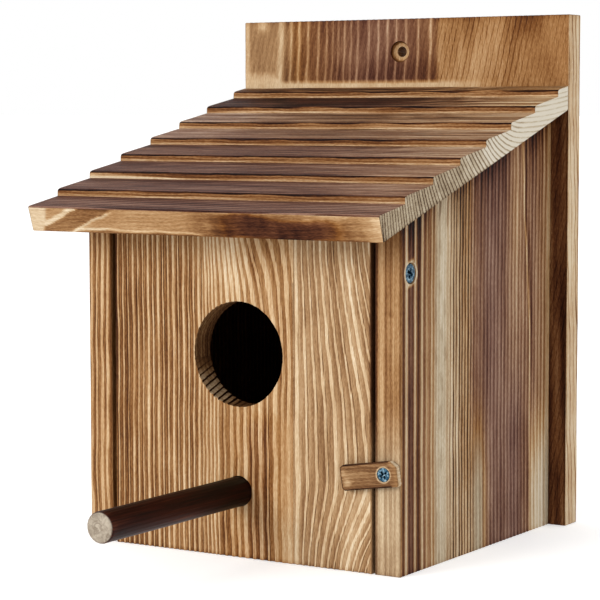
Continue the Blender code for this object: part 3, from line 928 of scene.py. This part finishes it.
def roof_wood(p, course, riser, tread, thick, end):
    """The roof: smoked treads, browner risers with a dark nose and a bright foot, a figured front.

    Riser and tread say where a point lies in its course, thick is how far it lies from the
    underside (0) to the top (1), and end is 1 on the sawn ends.
    """
    x, depth, z = p[:, 0], p[:, 1] - FRONT, p[:, 2]
    up = z - roof_line(depth)
    index = np.clip(course, 0, 7).astype(int)

    def tread_value(first, share):
        """A tread's value along x, from its three places and a share of the last one between."""
        left, centre, right = TREADS[:, first::2].T
        rows = zip(left, centre, (1 - share) * centre + share * right, right)
        values = np.stack([np.interp(x, (-80, 0, 45, 80), row) for row in rows])
        return values[index, np.arange(len(x))]

    tone = tread_value(0, 0.6)
    hue = tread_value(1, 0.5)
    along = np.maximum(tread, 0) * COURSE_PITCH
    drift = wander(x, 330, 1.6, 81) + 0.8 * cloud(x * 0.2, depth * 3, 50, 82)
    phase = np.interp(depth + drift, (-40, 0, 30, 60, 90, 150), (0, 15, 26, 42, 52, 80))
    contrast = 0.24 + 0.14 * rise(index + x / 90, 2.6, 4.2)
    tone = tone + 0.06 * cloud(x * 0.25, depth * 2.2, 16, 83) + 0.06 * cloud(x * 0.12, depth * 5, 11, 94)
    tone += 0.07 * rise(x, 20, 80) * (index < 6)
    tone += 0.16 * hump(along, 21, 1.6) * (index > 0) * rise(x, 20, 70)
    tone -= 0.10 * hump(along, 1.0, 0.6) * (tread >= 0) * (index > 0)
    pale_patch = (index == 4) * (1 - rise(x, -60, -40)) + (index == 5) * (1 - rise(x, -58, -50))
    tone += 0.10 * pale_patch
    knot = (index == 6) * hump(np.hypot((x - 44) / 3.2, along - 12), 0, 1.6)
    tone -= 0.35 * knot

    # risers
    on_riser = (tread < 0) & (index > 0)
    part = riser + 0.10 * cloud(x * 0.35, index * 40.0, 22, 84)
    face = 0.49 + 0.07 * cloud(x * 0.3, index * 31.0 + riser * 5, 30, 85)
    gnawed = 0.82 + 0.10 * cloud(x * 0.5, index * 17.0, 14, 92)
    face = face + 0.30 * (1 - rise(part, 0.14, 0.34)) - 0.40 * rise(riser, gnawed - 0.1, gnawed + 0.08)
    wedge = (index == 2) * (1 - rise(x + 72 * part, -42, -18)) * (1 - rise(part, 0.7, 0.9))
    face = face + 0.24 * wedge - 0.10 * (index == 4) * hump(x, 15, 35) * rise(part, 0.3, 0.6)
    riser_phase = (z * 1.6 + wander(x, 90, 0.7, 86)) / 1.9
    phase, tone, contrast, hue = cover(on_riser, (phase, riser_phase), (tone, face),
                                       (contrast, 0.10), (hue, 0.12))

    # front face, told by height above its lower edge
    front = (depth < -26.5) & (tread < 0) & (thick < 0.999)
    high = (z - FRONT_LOW[1]) / SQUARE[1]
    flow = high + wander(x, 70, 0.7, 87)
    wood = np.interp(x, (-87, -81, -60, -30, -8, 4, 14, 30, 52, 66, 78, 87),
                     (0.80, 0.72, 0.60, 0.62, 0.59, 0.43, 0.28, 0.22, 0.24, 0.38, 0.55, 0.76))
    core = rise(flow, -0.5, 1.0) * (1 - rise(flow - 2 * hump(x, 20, 12), 6.5, 9.5))
    wood += (0.24 * rise(x, 0, 16) * (1 - rise(x, 62, 80))) * (1 - core)
    wood += 0.07 * cloud(x * 1.6, high * 3, 15, 93) * rise(x, -5, 10)
    first = high - 2.0 - 0.45 * (x + 83) + wander(x, 17, 0.5, 89)
    second = high - 1.5 - 0.42 * (x + 64) + wander(x, 21, 0.6, 90)
    belt = rise(first, -1.6, -1.2) * (1 - rise(first, 0.7, 1.3))
    flame = np.where(first > 0, 0.62, np.where(second > 0, 0.46, 0.62))
    flame = flame * (1 - belt) + 0.84 * belt + 0.20 * hump(second, -0.6, 0.6) * (first < -1.5)
    fade = rise(x, -47, -40)
    wood = cover(fade, (flame, wood))
    corner = rise(-79.5 - x + 0.3 * (high - 5), -1.2, 1.2)
    wood = cover(corner, (wood, 0.82))
    trail = np.interp(x, (-87, -60, -47, -32, -22, -8, 2, 10), (-2, 0.6, 1.9, 1.1, 2.2, 1.5, 0.2, -1.0))
    wood += 0.24 * hump(flow, trail, 0.55) * (1 - rise(x, -2, 5))
    wood -= 0.12 * hump(flow, trail - 1.2, 0.6)
    bright = hump(high, 10.6, 0.5) * rise(x, 0, 20) * (1 - rise(x, 60, 84))
    dark_top = hump(high, 10.9, 0.7) * (1 - rise(x, -48, -40)) * rise(x, -66, -60)
    wood = wood + 0.22 * bright - 0.36 * dark_top - 0.16 * np.exp(-np.maximum(high, 0) / 0.35)
    front_hue = 0.55 * rise(x, 5, 25) * (1 - rise(x, 58, 74)) * core - 0.19
    front_hue = front_hue - 0.35 * (x < -46) * (wood > 0.7)
    phase, tone, contrast, hue = cover(front, (phase, (flow - 0.05 * x) / 1.7), (tone, wood),
                                       (contrast, 0.04), (hue, front_hue))

    # underside, rear and sawn ends
    under = (thick < 0.001) & ~front
    tone, contrast, hue = cover(under, (tone, 0.52), (contrast, 0.24), (hue, 0.1))
    sawn = 0.51 + 0.50 * rise(depth, 25, 95) + 0.03 * cloud(depth, up * 2, 16, 88)
    sawn -= 0.35 * np.exp(-np.maximum(up, 0) / 0.45) * (1 - 0.4 * rise(depth, 60, 110))
    sawn -= 0.42 * np.exp(-np.maximum(depth + 27.9 + up * 0.29, 0) / 0.5)
    sawn_contrast = 0.42 - 0.15 * rise(depth, 80, 120)
    phase, tone, contrast, hue = cover(end, (phase, roof_end_grain(depth, up)), (tone, sawn),
                                       (contrast, sawn_contrast), (hue, -0.95))
    rough = np.where(on_riser | (index >= 0) & (tread >= 0), 0.56, 0.64)
    relief = np.full(len(x), 0.12) * (0.5 + 2 * contrast) * (1 - end)
    return wood_fields(phase, tone, contrast, hue, 0.25 + 0.10 * end, rough), relief


def roof_piece():
    """A block of points whose top row is the milled profile and whose bottom row is the underside."""
    material = scorched_pine("roof_pine", 0)
    end_material = scorched_pine("roof_end_pine", 0)
    top = roof_top()
    run = np.concatenate([[0], np.cumsum(np.hypot(np.diff(top[:, 0]), np.diff(top[:, 1])))])
    low_depth = FRONT_LOW[0] + (ROOF_REAR - FRONT_LOW[0]) * run / run[-1]
    bottom = np.stack([low_depth, roof_line(low_depth)], 1)
    rows = np.concatenate([[0, 0.03], np.linspace(0.08, 0.92, 17), [0.97, 1.0]])
    even = spread(-ROOF_HALF, ROOF_HALF, 1.35, 0.35)
    sides = np.concatenate([even[:4], np.linspace(-86.2, -42, 66), even[even > -41.5]])
    counts = (len(sides), len(top), len(rows))
    index, quads = skin(counts)
    along, step, level = index.T
    part = rows[level]
    flat = bottom[step] * (1 - part[:, None]) + top[step, :2] * part[:, None]
    x = sides[along]
    points = np.stack([x, FRONT + flat[:, 0], flat[:, 1]], 1)
    edge = np.clip(0.35 - (ROOF_HALF - np.abs(x)), 0, 0.35)
    on_top = level == counts[2] - 1
    on_low = level == 0
    eased = 0.5 * edge
    points[:, 2] += np.where(on_low, eased, 0) - np.where(on_top, eased, 0)
    end = ((along == 0) | (along == counts[0] - 1)) * 1.0
    course = np.where(on_top | (step < 3), top[step, 2], 0)
    riser = top[step, 3]
    tread = np.where(on_top, top[step, 4], -1)
    course = np.where(on_top, course, 0)
    fields, relief = roof_wood(points, course, riser, tread, part, end)
    phase, width = fields["rings"]
    sunk = relief * (1 - ridge(phase, width, 0.2))
    nose = wander(x, 34, 0.16, 91) * (tread < 0) * (riser > 0.55) * (course > 0)
    points[:, 2] -= np.where(on_top, sunk + 0.16 + nose, 0) * (end < 1)
    points[:, 1] += np.where(on_top & (course > 0) & (tread < 0), 0.12 + 0.5 * sunk, 0)
    piece = make_piece("roof", points, quads, material, fields, 38)
    piece.data.materials.append(end_material)
    is_end = end[quads].min(1) > 0.5
    piece.data.polygons.foreach_set("material_index", is_end.astype(np.int32))
    settle(piece, "roof_board", "house")


# ---------------------------------------------------------------- small pieces

def perch_piece():
    """A turned dowel, a little out of round, with a broken edge at its sawn tip."""
    material = dark_dowel("stained_dowel")
    low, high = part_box("perch_dowel")
    centre = (0, low.y / MM, (low.z + high.z) / 2 / MM)
    length = (high.y - low.y) / MM
    full = (high.z - low.z) / 2 / MM
    along = np.concatenate([[0, 0, 0, 0.15, 0.4, 0.75, 1.1], np.linspace(2, length, 110)])
    round_off = np.concatenate([[0.35, 0.7, 0.9, 0.93, 0.97, 0.99, 1.0], np.ones(110)])
    sides = 128
    angle = np.arange(sides) * TAU / sides
    wobble = 0.05 * np.sin(2 * angle + 0.6)[None, :] + 0.03 * np.sin(along / 9.0)[:, None]
    grooves = 0.05 * (0.5 + 0.5 * np.sin(angle * 23 + np.sin(along[:, None] / 17)))
    radius = full * round_off[:, None] - (0.08 + wobble + grooves) * (round_off[:, None] > 0.9)

    def fields(p):
        out = np.hypot(p[:, 0], p[:, 2] - centre[2])
        from_tip = p[:, 1] - centre[1]
        sawn = (1 - rise(from_tip, 0.1, 0.5)) * (1 - rise(out, 5.75, 6.2))
        lit = rise(p[:, 0] * 0.3 - (p[:, 2] - centre[2]) * 0.2, -1, 3)
        tone = 0.30 + 0.10 * lit - 0.16 * rise(from_tip, 50, 92) + 0.12 * (1 - rise(from_tip, 0, 6))
        return {"rings": (0.0, 0.0), "tone": (tone, sawn)}

    piece = turned("perch", centre, 1, along, radius, sides, fields, material)
    settle(piece, "perch_dowel", "door")


def button_piece():
    """A slip of wood with its ends cut off by hand, drilled for its screw.

    The grid runs along, across the thickness and up; its two long edges are bent to the outline
    given as heights along the length, and the whole slip is turned about its screw.
    """
    material = scorched_pine("button_pine", 0)
    screw = middle("turn_button_screw")
    (_, front, _), (_, rear, _) = box_mm("turn_button")
    near, far = 6.3, 6.3 - 26.8
    half = 5.35
    lower = ((far, far + 0.25, far + 1.3, near - 0.7, near),
             (-half + 1.6, -half + 0.9, -half, -half, -half + 0.6))
    upper = ((far, far + 0.5, far + 1.6, near - 2.8, near),
             (half - 2.0, half - 0.6, half, half, half - 2.6))

    def outline(p):
        floor = np.interp(p[:, 0], *lower)
        ceiling = np.interp(p[:, 0], *upper)
        part = (p[:, 2] + half) / (2 * half)
        p[:, 2] = floor + part * (ceiling - floor)
        turned_x = p[:, 0] * math.cos(BUTTON_TILT) - p[:, 2] * math.sin(BUTTON_TILT)
        turned_z = p[:, 0] * math.sin(BUTTON_TILT) + p[:, 2] * math.cos(BUTTON_TILT)
        p[:, 0], p[:, 2] = screw[0] + turned_x, screw[2] + turned_z
        return p

    def wood(p):
        """Lengthwise grain: pale bruised far end, yellower near end, and a singed outline."""
        x, z = p[:, 0] - screw[0], p[:, 2] - screw[2]
        along = x * math.cos(BUTTON_TILT) + z * math.sin(BUTTON_TILT)
        up = z * math.cos(BUTTON_TILT) - x * math.sin(BUTTON_TILT)
        deep = p[:, 1] - front
        floor, ceiling = np.interp(along, *lower), np.interp(along, *upper)
        inset = np.minimum(np.minimum(up - floor, ceiling - up), np.minimum(along - far, near - along))
        cut_end = rise(along, 2.6, 3.8)
        singed = (1 - rise(inset, 0.15, 0.9)) * (1 - cut_end)
        tone = 0.49 + 0.07 * cloud(along * 0.4, up * 2, 9, 95)
        tone += 0.16 * rise(along, 1.5, 5.5)
        tone += 0.30 * hump(along, far + 3.0, 2.0) * hump(up, -2.0, 1.6)
        tone += 0.16 * hump(along, far + 1.6, 1.4) * hump(up, 2.2, 1.4)
        tone = tone - 0.34 * singed + 0.06 * rise(deep, 0.5, 2.5) - 0.05
        tone += 0.30 * cut_end * (1 - rise(inset, 0.0, 0.3)) * rise(deep, 0.3, 0.7)
        crushed = 1 - rise(np.hypot(along, up), 3.0, 3.9)
        tone = cover(crushed, (tone, 0.88))
        hue = -0.30 - 0.30 * crushed + 0.1 * rise(along, 2, 6)
        phase = (up + 0.3 * np.sin(along / 6) + 0.02 * along) / 1.5
        return wood_fields(phase, tone, 0.07, hue, 0.24), np.full(len(x), 0.06)

    piece = board("button_slip", (far, front, -half), (near, rear, half), (0.24, 0.5, 0.2), wood,
                  material, 0.45, outline)
    bore(piece, [turned("slip_cut", (screw[0], front, screw[2]), 1, (-2.0, 0.0, 0.4, 1.6, 5.0),
                        (3.3, 3.1, 3.1, 1.75, 1.75), 64, drilled(0.8, -0.5), material)])
    settle(piece, "turn_button", "button")


def screw_piece(node, axis, inward, body, recess, shank, material, turn):
    """A countersunk wood screw: a cross sunk in its flat head, a cone and a cut thread.

    Head rings run out from the centre, each point sunk by how far it lies inside the cross.  The
    shank's radius rises and falls as a wave of the way along less the way round.
    """
    low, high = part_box(node)
    length = (high - low)[axis] / MM
    head = (high - low)[(axis + 1) % 3] / 2 / MM
    place = middle(node)
    place[axis] = (low[axis] if inward > 0 else high[axis]) / MM
    sides = 72
    angle = np.arange(sides) * TAU / sides
    out = np.concatenate([np.linspace(0.06, recess * 1.12, 17),
                          np.linspace(recess * 1.2, head - 0.22, 4)])[:, None]
    a = out * np.cos(angle + turn)
    b = out * np.sin(angle + turn)
    web = 0.26 * recess

    def arm(first, second):
        return np.minimum((recess - np.abs(first)) / 0.35, (web - np.abs(second)) / 0.16)

    inside = np.clip(np.maximum(arm(a, b), arm(b, a)), 0, 1)
    sink = inside * (0.9 * recess - 0.45 * out)
    dome = 0.05 * (1 - (out / head) ** 2)
    head_along = sink - dome + 0.06
    rim_out = np.array([[head - 0.08], [head], [head], [head - 0.12]])
    rim_along = np.array([[0.06], [0.12], [0.40], [0.52]])
    cone = head - shank
    body_along = np.concatenate([[0.52 + cone], np.linspace(0.8 + cone, length - 2.4 * shank, 96),
                                 np.linspace(length - 2.2 * shank, length - 0.05, 12)])
    taper = np.clip((length - body_along) / (2.4 * shank), 0.03, 1)
    wave = np.abs(2 * fraction(body_along[:, None] / (1.15 * shank) - angle / TAU) - 1)
    threaded = rise(body_along, 1.5 + cone, 3 + cone)[:, None]
    shank_out = shank * taper[:, None] * (1 - threaded * 0.26 * wave ** 1.5)
    radius = np.concatenate([np.repeat(out, sides, 1), np.repeat(rim_out, sides, 1), shank_out])
    along = np.concatenate([head_along, np.repeat(rim_along, sides, 1),
                            np.repeat(body_along[:, None], sides, 1)])
    ends = inward * head_along[0].mean(), inward * length
    points = ring_points(inward * along, radius, axis, ends, place)
    faces = ring_faces(len(radius), sides, inward > 0)
    piece = make_piece(node + "_threaded", points, faces, material, None, 30)
    settle(piece, node, body)


def fasteners():
    zinc = zinc_plate("zinc_plate")
    screw_piece("pivot_screw_right", 0, -1, "door", 2.3, 2.0, zinc, 0.5)
    screw_piece("pivot_screw_left", 0, 1, "door", 2.3, 2.0, zinc, 0.2)
    screw_piece("turn_button_screw", 1, 1, "house", 1.7, 1.4, zinc, 0.65)
    turns = {"back_screw_1": 0.7, "back_screw_2": 0.7 * 2, "back_screw_3": 0.7 * 3,
             "back_screw_4": 0.7 * 4, "floor_screw_left": 0.4, "floor_screw_right": 0.4}
    for node, turn in turns.items():
        screw_piece(node, 1, -1, "house", 2.1, 1.75, zinc, turn)
    for name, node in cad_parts.items():
        if "brad" in name:
            for slot in node.material_slots:
                slot.material = zinc


# ---------------------------------------------------------------- studio

def studio():
    finish = Finish("studio_floor", (0.9, 0.9, 0.9))
    speck = finish.noise((40, 40, 40), 2.0)
    pale = finish.ramp(speck, [(0.0, (0.73, 0.73, 0.73)), (1.0, (0.77, 0.77, 0.77))])
    finish.set(Base_Color=pale, Roughness=0.9, Specular_IOR_Level=0.1, Emission_Strength=0.42,
               Emission_Color=(1.0, 1.0, 1.0, 1.0))
    reach = 40000.0
    corners = np.array([(-reach, -reach, -0.05), (reach, -reach, -0.05), (reach, reach, -0.05),
                        (-reach, reach, -0.05)])
    floor = make_piece("studio_floor", corners, [[0, 1, 2, 3]], finish.material)

    world = bpy.data.worlds.new("soft_white")
    world.use_nodes = True
    sky = world.node_tree.nodes["Background"]
    sky.inputs["Color"].default_value = (1.0, 1.0, 1.0, 1.0)
    sky.inputs["Strength"].default_value = 1.0
    bpy.context.scene.world = world

    lamp = bpy.data.lights.new("key_light", "AREA")
    lamp.shape = "DISK"
    lamp.size = 1.4
    lamp.energy = 62
    lamp.color = (1.0, 0.97, 0.93)
    light = bpy.data.objects.new("key_light", lamp)
    light.location = (-1.0, -2.6, 1.0)
    aim = Vector((0, 0, 0.1)) - light.location
    light.rotation_mode = "QUATERNION"
    light.rotation_quaternion = aim.to_track_quat("-Z", "Y")
    bpy.context.scene.collection.objects.link(light)

    lens = bpy.data.cameras.new("camera")
    lens.sensor_width = 36
    lens.lens = 133.01
    lens.clip_end = 200
    camera = bpy.data.objects.new("camera", lens)
    yaw, pitch, roll = np.radians([32.2866, 4.9723, -0.126])
    ahead = np.array([-math.sin(yaw) * math.cos(pitch), math.cos(yaw) * math.cos(pitch),
                      -math.sin(pitch)])
    level = np.array([math.cos(yaw), math.sin(yaw), 0])
    above = np.cross(level, ahead)
    right = level * math.cos(roll) + above * math.sin(roll)
    up = np.cross(right, ahead)
    pose = np.eye(4)
    stand = (0.52007, -0.80016, 0.19124)
    pose[:3] = np.stack([right, up, -ahead, stand], 1)
    camera.matrix_world = Matrix(pose.tolist())
    bpy.context.scene.collection.objects.link(camera)
    bpy.context.scene.camera = camera
    bpy.context.scene.view_settings.view_transform = "Standard"


door_pieces()
side_pieces()
back_piece()
floor_piece()
roof_piece()
perch_piece()
button_piece()
fasteners()
studio()
